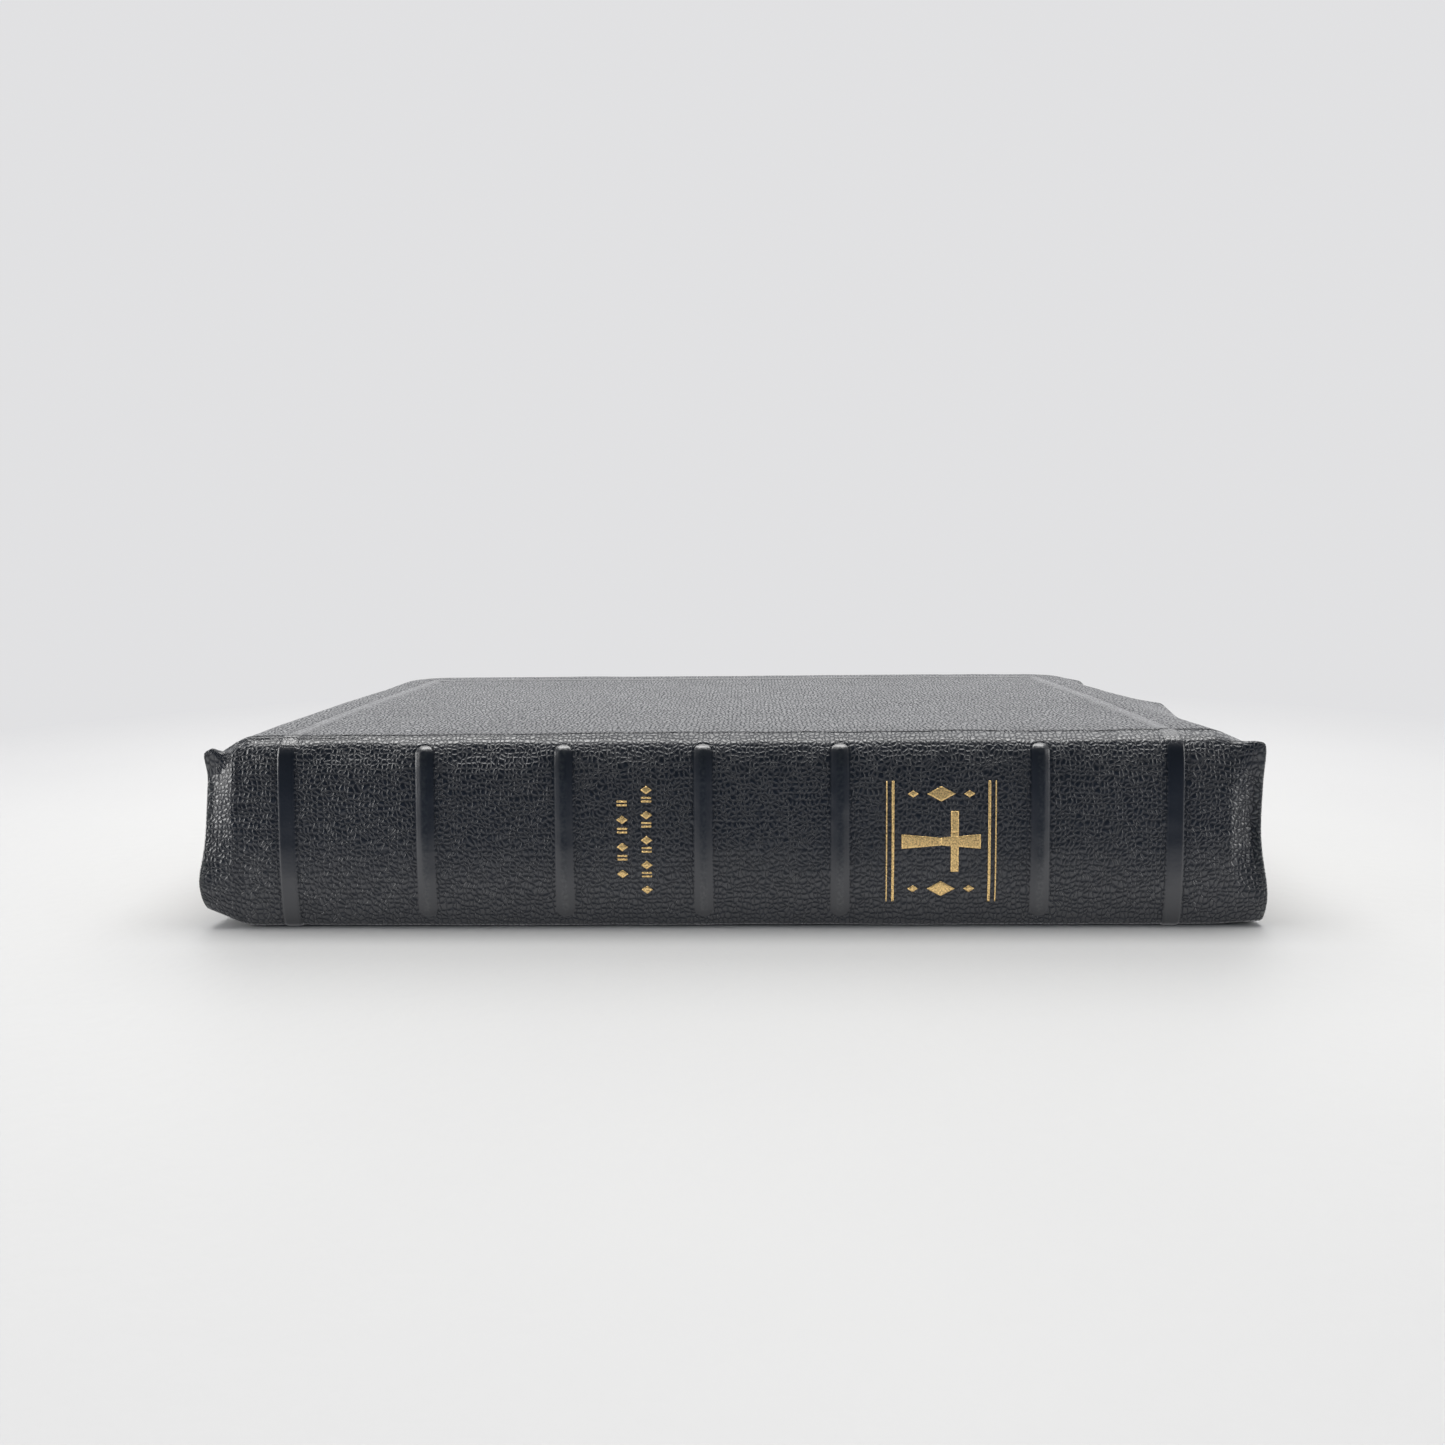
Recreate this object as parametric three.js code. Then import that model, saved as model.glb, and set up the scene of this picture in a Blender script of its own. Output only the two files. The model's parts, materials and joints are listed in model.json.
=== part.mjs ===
// A limp leather-bound bible with overlapping (semi-yapp) edges, lying closed on its front cover.
// X runs along the spine from tail to head, Y from the spine to the fore-edge, Z up.
// All sizes are in millimetres. The origin is at the middle of the book's base.
import * as THREE from "three";

// ---- Driving dimensions ----
const PAGE_LENGTH = 209; // head to tail
const PAGE_WIDTH = 130; // spine fold to fore-edge
const PAGE_CORNER = 6; // rounded fore-edge corners
const SECTION_COUNT = 32; // sewn sections of 32 pages each
const SECTION_THICKNESS = 1.08;
const SECTION_GAP = 0.05;
const LEAF_COUNT = 6; // the thin middle section's leaves, which part when the book opens
const LEAF_THICKNESS = 0.2;
const LEAF_GAP = 0.06;
const SPINE_ROUND = 2.5; // how far the middle of the rounded spine stands out

const COVER_LENGTH = 213; // between the folds of the overlapping edges
const COVER_FORE_EDGE = 132.5; // fold line at the fore-edge, from the spine fold
const COVER_CORNER = 9;
const JOINT_EDGE = 4.1; // where the flexible joint strip of the spine leather ends
const PANEL_EDGE = 4.4; // where the stiff cover panel begins
const LEATHER = 1.1;
const BOARD = 0.7;
const LINING = 0.3;
const FLYLEAF = 0.25;
const SKIN_GAP = 0.05;

const FLAP_REACH = 10; // how far an overlapping edge stands out past its fold
const FLAP_RADIUS = 9;
const FLAP_ANGLE = THREE.MathUtils.degToRad(32);
const FLAP_STEPS = 4;

const SHOULDER_RADIUS = 3.6;
const SHOULDER_STEPS = 5;
const FACE_STEPS = 8;
const RIB_CENTRES = [-67.3, -36.3, -5.3, 25, 69];
const RIB_HEIGHT = 0.9;
const RIB_INSET = 1; // a rib ends this far from the shoulder
const BAND_WIDTH = 1.8;
const BAND_THICKNESS = 0.7;
const BAND_SHARE = 0.94; // of the height of the spine's face

const MULL = 0.3;
const LINER = 0.3;
const INLAY = 0.6;
const ENDBAND = 2;

// ---- Levels and lengths that follow from them ----
const COVER_STACK = LEATHER + SKIN_GAP + BOARD + SKIN_GAP + LINING;
const BLOCK_LOW = COVER_STACK + 3 * SKIN_GAP + FLYLEAF + SKIN_GAP;
const SECTION_PITCH = SECTION_THICKNESS + SECTION_GAP;
const HALF_BLOCK = (SECTION_COUNT / 2) * SECTION_PITCH;
const LEAF_PITCH = LEAF_THICKNESS + LEAF_GAP;
const THICKNESS = 2 * (BLOCK_LOW + HALF_BLOCK) + LEAF_COUNT * LEAF_PITCH;
const MIDDLE = THICKNESS / 2;
const FOLD_X = COVER_LENGTH / 2;
const MULL_OUT = 0.1; // distances out from the folds of the sections
const LINER_OUT = MULL_OUT + MULL + SKIN_GAP;
const INLAY_OUT = LINER_OUT + LINER + SKIN_GAP;
const BAND_OUT = INLAY_OUT + INLAY + SKIN_GAP;
const LEATHER_OUT = INLAY_OUT + INLAY + 2 * SKIN_GAP + LEATHER;
const SPINE_FRONT = -(SPINE_ROUND + LEATHER_OUT + RIB_HEIGHT);
const FORE_EDGE = COVER_FORE_EDGE + FLAP_REACH;

const materials = {
  leather: new THREE.MeshStandardMaterial({ color: 0x23262b, roughness: 0.42 }),
  lining: new THREE.MeshStandardMaterial({ color: 0x1b1b1d, roughness: 0.75 }),
  board: new THREE.MeshStandardMaterial({ color: 0x8a7f6c, roughness: 0.9 }),
  paper: new THREE.MeshStandardMaterial({ color: 0xe9e2cf, roughness: 0.85 }),
  cloth: new THREE.MeshStandardMaterial({ color: 0xd8d2c2, roughness: 0.95 }),
  endband: new THREE.MeshStandardMaterial({ color: 0x7c1f24, roughness: 0.6 }),
};

const book = new THREE.Group();
book.position.y = -(SPINE_FRONT + FORE_EDGE) / 2;

function add(name, geometry, material, z = 0) {
  const mesh = new THREE.Mesh(geometry, material);
  mesh.name = name;
  mesh.position.z = z;
  book.add(mesh);
}

// ---- The rounded spine, seen along X: how far out it stands at each height ----
function spineCurve(z) {
  const share = (z - MIDDLE) / (MIDDLE - BLOCK_LOW);
  return -SPINE_ROUND * Math.max(0, 1 - share * share);
}

// The heights at which the spine's long faces are sampled, from low to high, clear of the shoulders.
function faceHeights() {
  const low = SHOULDER_RADIUS + RIB_INSET;
  const heights = [SHOULDER_RADIUS];
  for (let i = 0; i <= FACE_STEPS; i++) heights.push(low + ((THICKNESS - 2 * low) * i) / FACE_STEPS);
  heights.push(THICKNESS - SHOULDER_RADIUS);
  return heights;
}

// A strip that follows the rounded spine between two distances from the section folds, extruded along X.
// `share` is how much of the face's height it covers.
function spineStrip(near, thickness, length, share = 1) {
  const heights = faceHeights().slice(1, -1).map((z) => MIDDLE + (z - MIDDLE) * share);
  const points = heights.map((z) => new THREE.Vector2(spineCurve(z) - near, z));
  const outer = heights.map((z) => new THREE.Vector2(spineCurve(z) - near - thickness, z));
  const shape = new THREE.Shape([...points, ...outer.reverse()]);
  const geometry = new THREE.ExtrudeGeometry(shape, { depth: length, bevelEnabled: false });
  const alongX = new THREE.Matrix4().makeBasis(
    new THREE.Vector3(0, 1, 0),
    new THREE.Vector3(0, 0, 1),
    new THREE.Vector3(1, 0, 0),
  );
  return geometry.translate(0, 0, -length / 2).applyMatrix4(alongX);
}

// ---- Flat sheets: a plan outline with rounded fore-edge corners, extruded upwards ----
function plan(length, near, far, corner) {
  const half = length / 2;
  const outline = [new THREE.Vector2(-half, near), new THREE.Vector2(half, near)];
  const steps = 4;
  for (const [x, from] of [[half - corner, 0], [corner - half, Math.PI / 2]]) {
    for (let i = 0; i <= steps; i++) {
      const angle = from + ((Math.PI / 2) * i) / steps;
      outline.push(new THREE.Vector2(x + corner * Math.cos(angle), far - corner + corner * Math.sin(angle)));
    }
  }
  return outline;
}

function sheet(thickness, length, near, far, corner) {
  const shape = new THREE.Shape(plan(length, near, far, corner));
  return new THREE.ExtrudeGeometry(shape, { depth: thickness, bevelEnabled: false });
}

function addSections() {
  for (let i = 0; i < SECTION_COUNT; i++) {
    const upper = i >= SECTION_COUNT / 2;
    const low = BLOCK_LOW + i * SECTION_PITCH + (upper ? LEAF_COUNT * LEAF_PITCH : 0);
    // The fold sits on the spine's curve, at the end of the section that stands out less.
    const fold = spineCurve(upper ? low + SECTION_THICKNESS : low);
    const body = sheet(SECTION_THICKNESS, PAGE_LENGTH, fold, fold + PAGE_WIDTH, PAGE_CORNER);
    add(`section_${String(i + 1).padStart(2, "0")}`, body, materials.paper, low);
  }
}

function addLeaves() {
  const fold = spineCurve(MIDDLE);
  for (let i = 0; i < LEAF_COUNT; i++) {
    const leaf = sheet(LEAF_THICKNESS, PAGE_LENGTH, fold, fold + PAGE_WIDTH, PAGE_CORNER);
    add(`leaf_${i + 1}`, leaf, materials.paper, BLOCK_LOW + HALF_BLOCK + i * LEAF_PITCH);
  }
  const low = COVER_STACK + 3 * SKIN_GAP;
  const high = THICKNESS - low - FLYLEAF;
  // A flyleaf turns with its cover, so it starts at the joint, as the stiff cover panel does.
  const flyleaf = () => sheet(FLYLEAF, PAGE_LENGTH, PANEL_EDGE, PAGE_WIDTH, PAGE_CORNER);
  add("front_flyleaf", flyleaf(), materials.paper, low);
  add("back_flyleaf", flyleaf(), materials.paper, high);
}

// ---- Closed bodies from matching loops of points ----
// Each loop runs along a thin shell's outer side and back along its inner side.
function loft(loops) {
  const count = loops[0].length;
  const positions = loops.flat().flatMap((p) => [p.x, p.y, p.z]);
  const index = [];
  const quad = (a, b, c, d) => index.push(a, d, c, a, c, b);
  for (let j = 0; j + 1 < loops.length; j++) {
    for (let i = 0; i < count; i++) {
      const next = (i + 1) % count;
      quad(j * count + i, j * count + next, (j + 1) * count + next, (j + 1) * count + i);
    }
  }
  const last = (loops.length - 1) * count;
  for (let i = 0; i + 1 < count / 2; i++) {
    const back = count - 1 - i;
    quad(i, back, back - 1, i + 1);
    quad(last + i, last + i + 1, last + back - 1, last + back);
  }
  return indexed(positions, index);
}

function indexed(positions, index) {
  const geometry = new THREE.BufferGeometry();
  geometry.setAttribute("position", new THREE.Float32BufferAttribute(positions, 3));
  geometry.setIndex(index);
  return geometry;
}

// The overlapping edge in section: how far out and down it goes, `depth` in from the outer side.
function flapSection(depth) {
  const section = [];
  const radius = FLAP_RADIUS - depth;
  for (let i = 0; i <= FLAP_STEPS; i++) {
    const angle = (FLAP_ANGLE * i) / FLAP_STEPS;
    section.push({ out: radius * Math.sin(angle), drop: FLAP_RADIUS - radius * Math.cos(angle) });
  }
  const bend = section.at(-1);
  const straight = (FLAP_REACH - FLAP_RADIUS * Math.sin(FLAP_ANGLE)) / Math.cos(FLAP_ANGLE);
  section.push({
    out: bend.out + straight * Math.cos(FLAP_ANGLE),
    drop: bend.drop + straight * Math.sin(FLAP_ANGLE),
  });
  return section;
}

// The fold line of a cover's three free sides, from the tail end of the joint round to the head end.
function foldLine() {
  const line = [];
  const steps = 6;
  const put = (x, y, angle) =>
    line.push({ x, y, nx: Math.cos(angle), ny: Math.sin(angle) });
  put(-FOLD_X, PANEL_EDGE, Math.PI);
  for (const [x, from] of [[COVER_CORNER - FOLD_X, Math.PI], [FOLD_X - COVER_CORNER, Math.PI / 2]]) {
    for (let i = 0; i <= steps; i++) {
      const angle = from - ((Math.PI / 2) * i) / steps;
      const y = COVER_FORE_EDGE - COVER_CORNER + COVER_CORNER * Math.sin(angle);
      put(x + COVER_CORNER * Math.cos(angle), y, angle);
    }
  }
  put(FOLD_X, PANEL_EDGE, 0);
  return line;
}

// A cover's leather: a flat panel whose edges curve up towards the pages, with its outer side at z = 0.
function coverLeather() {
  const line = foldLine();
  const outer = flapSection(0);
  const inner = flapSection(LEATHER);
  const rows = line.map(({ x, y, nx, ny }) =>
    [...outer, ...[...inner].reverse()].map(({ out, drop }) =>
      new THREE.Vector3(x + nx * out, y + ny * out, drop),
    ),
  );
  const count = rows[0].length;
  const positions = rows.flat().flatMap((p) => [p.x, p.y, p.z]);
  const index = [];
  const quad = (a, b, c, d) => index.push(a, d, c, a, c, b);
  // The overlapping edge: every stretch of the section except the one that would close the panel.
  for (let j = 0; j + 1 < rows.length; j++) {
    for (let i = 0; i + 1 < count; i++) {
      quad(j * count + i, (j + 1) * count + i, (j + 1) * count + i + 1, j * count + i + 1);
    }
  }
  // The ends of the overlapping edge and the panel's own edge, along the joint.
  const last = (rows.length - 1) * count;
  for (let i = 0; i + 1 < count / 2; i++) {
    const back = count - 1 - i;
    quad(i, i + 1, back - 1, back);
    quad(last + i, last + back, last + back - 1, last + i + 1);
  }
  quad(0, count - 1, last + count - 1, last);
  // The flat panel, outside and inside.
  const contour = line.map(({ x, y }) => new THREE.Vector2(x, y));
  for (const [a, b, c] of THREE.ShapeUtils.triangulateShape(contour, [])) {
    index.push(c * count, b * count, a * count);
    index.push(a * count + count - 1, b * count + count - 1, c * count + count - 1);
  }
  return indexed(positions, index);
}

function addCover(side) {
  const front = side === "front";
  const boardLow = LEATHER + SKIN_GAP;
  const liningLow = boardLow + BOARD + SKIN_GAP;
  const level = (low, thickness) => (front ? low : THICKNESS - low - thickness);
  const leather = coverLeather();
  if (!front) leather.rotateY(Math.PI).translate(0, 0, THICKNESS);
  add(`${side}_cover_leather`, leather, materials.leather);
  const inner = (thickness) =>
    sheet(thickness, COVER_LENGTH - 1.4, PANEL_EDGE, COVER_FORE_EDGE - 0.7, COVER_CORNER);
  add(`${side}_cover_board`, inner(BOARD), materials.board, level(boardLow, BOARD));
  add(`${side}_cover_lining`, inner(LINING), materials.lining, level(liningLow, LINING));
}

// ---- The spine leather: joint strip, shoulder, ribbed face, shoulder, joint strip ----
// `drop` narrows the section where the leather overlaps the ends of the pages.
function spineLoop(x, rib, drop) {
  const tuck = drop * 0.35;
  const squeeze = (z) => drop + (z * (THICKNESS - 2 * drop)) / THICKNESS;
  const outer = [new THREE.Vector2(JOINT_EDGE, drop)];
  const heights = faceHeights();
  const faceEdge = spineCurve(heights[0]) - LEATHER_OUT + tuck;
  for (let i = 0; i < SHOULDER_STEPS; i++) {
    const angle = ((Math.PI / 2) * i) / SHOULDER_STEPS;
    outer.push(
      new THREE.Vector2(
        faceEdge + SHOULDER_RADIUS * (1 - Math.sin(angle)),
        squeeze(SHOULDER_RADIUS * (1 - Math.cos(angle))),
      ),
    );
  }
  heights.forEach((z, i) => {
    const ends = i === 0 || i === heights.length - 1;
    outer.push(new THREE.Vector2(spineCurve(z) - LEATHER_OUT + tuck - (ends ? 0 : rib), squeeze(z)));
  });
  const lower = outer.slice(0, SHOULDER_STEPS + 1);
  for (const p of lower.reverse()) outer.push(new THREE.Vector2(p.x, THICKNESS - p.y));
  const inner = outer.map((p, i) => {
    const along = outer[Math.min(i + 1, outer.length - 1)].clone().sub(outer[Math.max(i - 1, 0)]);
    const inward = new THREE.Vector2(along.y, -along.x).normalize();
    return p.clone().addScaledVector(inward, LEATHER);
  });
  return [...outer, ...inner.reverse()].map((p) => new THREE.Vector3(x, p.x, p.y));
}

function spineLeather() {
  const ribSteps = [[-2.1, 0], [-1.5, 0.55], [-0.95, 1], [0.95, 1], [1.5, 0.55], [2.1, 0]];
  const overlap = flapSection(0);
  const tail = [...overlap].reverse().map(({ out, drop }) => spineLoop(-FOLD_X - out, 0, drop));
  const ribs = RIB_CENTRES.flatMap((centre) =>
    ribSteps.map(([offset, share]) => spineLoop(centre + offset, RIB_HEIGHT * share, 0)),
  );
  const head = overlap.map(({ out, drop }) => spineLoop(FOLD_X + out, 0, drop));
  return loft([...tail, ...ribs, ...head]);
}

function addSpine() {
  add("spine_leather", spineLeather(), materials.leather);
  add("spine_inlay", spineStrip(INLAY_OUT, INLAY, COVER_LENGTH - 1), materials.board);
  add("spine_liner", spineStrip(LINER_OUT, LINER, PAGE_LENGTH - 2), materials.board);
  add("spine_mull", spineStrip(MULL_OUT, MULL, PAGE_LENGTH - 12), materials.cloth);
  RIB_CENTRES.forEach((centre, i) => {
    const band = spineStrip(BAND_OUT, BAND_THICKNESS, BAND_WIDTH, BAND_SHARE).translate(centre, 0, 0);
    add(`raised_band_${i + 1}`, band, materials.board);
  });
  const bandX = PAGE_LENGTH / 2 + SKIN_GAP + ENDBAND / 2;
  for (const [name, side] of [["headband", 1], ["tailband", -1]]) {
    const band = spineStrip(-ENDBAND, ENDBAND, ENDBAND).translate(side * bandX, 0, 0);
    add(name, band, materials.endband);
  }
}

addSections();
addLeaves();
addCover("front");
addCover("back");
addSpine();

export default book;
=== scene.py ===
"""A limp leather-bound bible, closed and lying on its front cover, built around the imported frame.

Lengths in this script are millimetres until mesh_object() turns them into metres. X runs along the
spine from tail to head, Y from the section folds towards the fore-edge, and Z up.
"""

import json
import math

import bpy
import numpy as np
from mathutils import Matrix, Vector


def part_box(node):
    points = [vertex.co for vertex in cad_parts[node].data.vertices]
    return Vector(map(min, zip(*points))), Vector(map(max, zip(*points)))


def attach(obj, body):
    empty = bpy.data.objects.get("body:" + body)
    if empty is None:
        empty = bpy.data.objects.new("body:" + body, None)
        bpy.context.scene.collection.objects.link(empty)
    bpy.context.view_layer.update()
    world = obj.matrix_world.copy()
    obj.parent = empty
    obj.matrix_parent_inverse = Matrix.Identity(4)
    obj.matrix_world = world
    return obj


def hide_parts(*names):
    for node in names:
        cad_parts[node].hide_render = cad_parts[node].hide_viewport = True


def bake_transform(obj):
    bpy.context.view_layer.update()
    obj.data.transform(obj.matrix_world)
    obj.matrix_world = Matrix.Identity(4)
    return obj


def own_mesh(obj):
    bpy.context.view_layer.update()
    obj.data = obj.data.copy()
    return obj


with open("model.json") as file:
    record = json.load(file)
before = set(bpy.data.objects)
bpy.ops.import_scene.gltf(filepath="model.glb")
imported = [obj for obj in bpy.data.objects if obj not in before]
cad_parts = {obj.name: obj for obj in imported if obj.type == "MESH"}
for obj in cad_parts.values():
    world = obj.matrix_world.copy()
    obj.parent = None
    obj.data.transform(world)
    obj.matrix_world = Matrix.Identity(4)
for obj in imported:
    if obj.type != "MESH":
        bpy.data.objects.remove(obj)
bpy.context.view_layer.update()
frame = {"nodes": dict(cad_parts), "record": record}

# ---- Sizes shared with the CAD model, and places worked out from its nodes ----
SPINE_ROUND = 2.5
LEATHER = 1.1
PANEL_EDGE = 4.4
COVER_CORNER = 9.0
PAGE_CORNER = 6.0
FOLD_X = 106.5
FLAP_RADIUS = 9.0
FLAP_ANGLE = math.radians(32)
FLAP_LENGTH = 11.2
RIB_CENTRES = (-67.3, -36.3, -5.3, 25.0, 69.0)
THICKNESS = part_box("spine_leather")[1].z * 1000
MIDDLE = THICKNESS / 2
BLOCK_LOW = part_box("section_01")[0].z * 1000
Y_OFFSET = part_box("front_cover_board")[0].y * 1000 - PANEL_EDGE
FORE_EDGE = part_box("front_cover_board")[1].y * 1000 - Y_OFFSET + 0.7
PAGE_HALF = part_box("section_01")[1].x * 1000
HINGE_Y = -1.2
SPINE_FOLD_Y = -2.95
JOINT_END = 3.4
CREASE_Y = 2.2
BORDER_X = 98.4
FRAME_INSET = 8.8
FLAT_X = FOLD_X - COVER_CORNER
FLAT_Y = FORE_EDGE - COVER_CORNER
# The halves that the spine parts into, the body that each rides on, and whether it is the lower one.
HALVES = (("front_half", "front_leaves", True), ("back_half", "back_leaves", False))


# ---- Small helpers ----
def smooth(low, high, x):
    """0 below low, 1 above high, and a smooth step between them."""
    t = np.clip((x - low) / (high - low), 0, 1)
    return t * t * (3 - 2 * t)


def bend(low, high, x):
    """Like smooth(), but nearly straight between two short curves."""
    reach = (high - low) * 0.22
    t = np.clip(x - low, 0, high - low)
    start = np.where(t < reach, t * t / (2 * reach), t - reach / 2)
    left = high - low - t
    rise = np.where(left < reach, high - low - reach - left * left / (2 * reach), start)
    return rise / (high - low - reach)


def noise(x, y, size, seed):
    """Smooth noise between -1 and 1 whose lumps are about `size` across."""
    table = np.random.default_rng(seed).uniform(-1, 1, (64, 64))
    gx, gy = np.asarray(x) / size + 21.7, np.asarray(y) / size + 33.1
    ix, iy = np.floor(gx).astype(int), np.floor(gy).astype(int)
    fx, fy = smooth(0, 1, gx - ix), smooth(0, 1, gy - iy)

    def blended(j):
        return table[ix % 64, j % 64] * (1 - fx) + table[(ix + 1) % 64, j % 64] * fx

    return blended(iy) * (1 - fy) + blended(iy + 1) * fy


def row(y=0.0, z=0.0, x=0.0):
    """A point in metres: y is measured from the section folds, z from the ground, x along the spine."""
    return (x / 1000, (y + Y_OFFSET) / 1000, z / 1000)


def mesh_object(name, points, faces, material, uv=None, attributes=None, normals=None):
    """A mesh from points in millimetres. Rows of normals that are NaN keep the mesh's own."""
    mesh = bpy.data.meshes.new(name)
    placed = (np.asarray(points, float) + (0, Y_OFFSET, 0)) / 1000
    mesh.from_pydata(placed.tolist(), [], [list(map(int, f)) for f in faces])
    mesh.polygons.foreach_set("use_smooth", [True] * len(mesh.polygons))
    if uv is not None:
        layer = mesh.uv_layers.new(name="grain")
        index = np.empty(len(mesh.loops), int)
        mesh.loops.foreach_get("vertex_index", index)
        layer.data.foreach_set("uv", np.asarray(uv, np.float32)[index].ravel())
    for key, values in (attributes or {}).items():
        layer = mesh.attributes.new(key, "FLOAT", "POINT")
        layer.data.foreach_set("value", np.asarray(values, np.float32).ravel())
    mesh.validate()
    mesh.update()
    if normals is not None:
        own = np.empty(len(mesh.vertices) * 3, np.float32)
        mesh.vertices.foreach_get("normal", own)
        own = own.reshape(-1, 3)
        known = ~np.isnan(normals[:, 0])
        own[known] = normals[known]
        mesh.normals_split_custom_set_from_vertices(own.tolist())
    mesh.materials.append(material)
    made = bpy.data.objects.new(name, mesh)
    bpy.context.scene.collection.objects.link(made)
    return made


def join(parts):
    """One set of points and faces from several (points, faces) pairs."""
    points, faces, total = [], [], 0
    for own_points, own_faces in parts:
        points.append(own_points)
        faces.append(own_faces + total)
        total += len(own_points)
    return np.vstack(points), np.vstack(faces)


def shell(outer, inner, bulge=(0, 1, 1, 1), rounds=3):
    """A closed shell between two matching grids of points.

    `bulge` says how round each edge is: first row, last row, first column, last column.
    Returns the points, the faces and, for each point, the grid index that it came from.
    """
    rows, cols = outer.shape[:2]
    count = rows * cols
    grid = np.arange(count).reshape(rows, cols)
    points = [outer.reshape(-1, 3), inner.reshape(-1, 3)]
    source = [np.arange(count), np.arange(count)]
    a, b, c, d = grid[:-1, :-1], grid[:-1, 1:], grid[1:, 1:], grid[1:, :-1]
    quads = np.stack([a, b, c, d], -1).reshape(-1, 4)
    faces = [quads, quads[:, ::-1] + count]
    # Round the edge: each point, its neighbour further in, and how round the edge is there. The corners
    # belong to the columns, so that a rim runs on unbroken from one half of the spine to the other.
    border = [(grid[0, j], grid[1, j], bulge[0]) for j in range(1, cols - 1)]
    border += [(grid[i, -1], grid[i, -2], bulge[3]) for i in range(rows)]
    border += [(grid[-1, j], grid[-2, j], bulge[1]) for j in range(cols - 2, 0, -1)]
    border += [(grid[i, 0], grid[i, 1], bulge[2]) for i in reversed(range(rows))]
    loop = np.array([entry[0] for entry in border])
    inside = np.array([entry[1] for entry in border])
    round_by = np.array([entry[2] for entry in border])
    top, bottom = points[0][loop], points[1][loop]
    outward = top - points[0][inside]
    outward /= np.linalg.norm(outward, axis=1)[:, None] + 1e-9
    half = (top - bottom) / 2
    size = np.linalg.norm(half, axis=1)[:, None] * round_by[:, None]
    ring = loop
    for k in range(1, rounds + 1):
        angle = math.pi * k / (rounds + 1)
        points.append((top + bottom) / 2 + half * math.cos(angle) + outward * size * math.sin(angle))
        source.append(loop)
        start = sum(len(p) for p in points[:-1])
        fresh = start + np.arange(len(loop))
        faces.append(np.stack([np.roll(ring, -1), ring, fresh, np.roll(fresh, -1)], -1))
        ring = fresh
    last = loop + count
    faces.append(np.stack([np.roll(ring, -1), ring, last, np.roll(last, -1)], -1))
    return np.vstack(points), np.vstack(faces), np.concatenate(source)


# ---- Materials ----
class Nodes:
    """A thin wrapper that builds the node tree of a material or of the world."""

    def __init__(self, name):
        self.material = bpy.data.materials.new(name)
        self.material.use_nodes = True
        self.tree = self.material.node_tree
        self.shader = self.tree.nodes["Principled BSDF"]

    @classmethod
    def for_world(cls, name):
        """The same helper for a new world, which becomes the scene's."""
        made = cls.__new__(cls)
        world = bpy.data.worlds.new(name)
        world.use_nodes = True
        made.tree = world.node_tree
        made.shader = made.tree.nodes["Background"]
        bpy.context.scene.world = world
        return made

    def add(self, kind, inputs=None, **settings):
        made = self.tree.nodes.new(kind)
        for key, value in settings.items():
            setattr(made, key, value)
        for key, value in (inputs or {}).items():
            self.put(made.inputs[key], value)
        return made

    def put(self, socket, value):
        if isinstance(value, bpy.types.NodeSocket):
            self.tree.links.new(value, socket)
        else:
            socket.default_value = value

    def math(self, kind, a, b=0.0, c=0.0):
        return self.add("ShaderNodeMath", {0: a, 1: b, 2: c}, operation=kind).outputs[0]

    def vector(self, kind, a, b):
        return self.add("ShaderNodeVectorMath", {0: a, 1: b}, operation=kind).outputs[0]

    def attribute(self, name):
        return self.add("ShaderNodeAttribute", attribute_name=name).outputs["Fac"]

    def split(self, vector):
        return self.add("ShaderNodeSeparateXYZ", {0: vector}).outputs

    def stretch(self, value, low, high):
        """0 where the value is low, 1 where it is high, and straight between them."""
        inputs = {"Value": value, "From Min": low, "From Max": high}
        return self.add("ShaderNodeMapRange", inputs).outputs[0]

    def ramp(self, value, *stops):
        made = self.add("ShaderNodeValToRGB", {0: value})
        elements = made.color_ramp.elements
        while len(elements) < len(stops):
            elements.new(0.5)
        for element, (place, colour) in zip(elements, stops):
            element.position = place
            element.color = (*colour, 1) if isinstance(colour, tuple) else (colour, colour, colour, 1)
        return made.outputs[0]

    def mix(self, share, a, b):
        made = self.add("ShaderNodeMix", {"Factor": share}, data_type="RGBA")
        for socket, value in ((made.inputs[6], a), (made.inputs[7], b)):
            self.put(socket, (*value, 1) if isinstance(value, tuple) else value)
        return made.outputs[2]

    def noise(self, vector, scale, detail=3.0, roughness=0.5):
        inputs = {"Vector": vector, "Scale": scale, "Detail": detail, "Roughness": roughness}
        return self.add("ShaderNodeTexNoise", inputs).outputs["Fac"]

    def bump(self, height, distance):
        """A bump map; a height of 1 stands for this distance in millimetres."""
        inputs = {"Height": height, "Distance": distance / 1000, "Strength": 1.0}
        return self.add("ShaderNodeBump", inputs).outputs[0]

    def finish(self, **sockets):
        for key, value in sockets.items():
            name = key.replace("_", " ")
            if isinstance(value, tuple):
                value = (*value, 1)
            self.put(self.shader.inputs[name], value)
        return self.material


def in_millimetres(n):
    """Object coordinates in millimetres."""
    place = n.add("ShaderNodeTexCoord").outputs["Object"]
    return n.vector("MULTIPLY", place, (1000, 1000, 1000))


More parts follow.
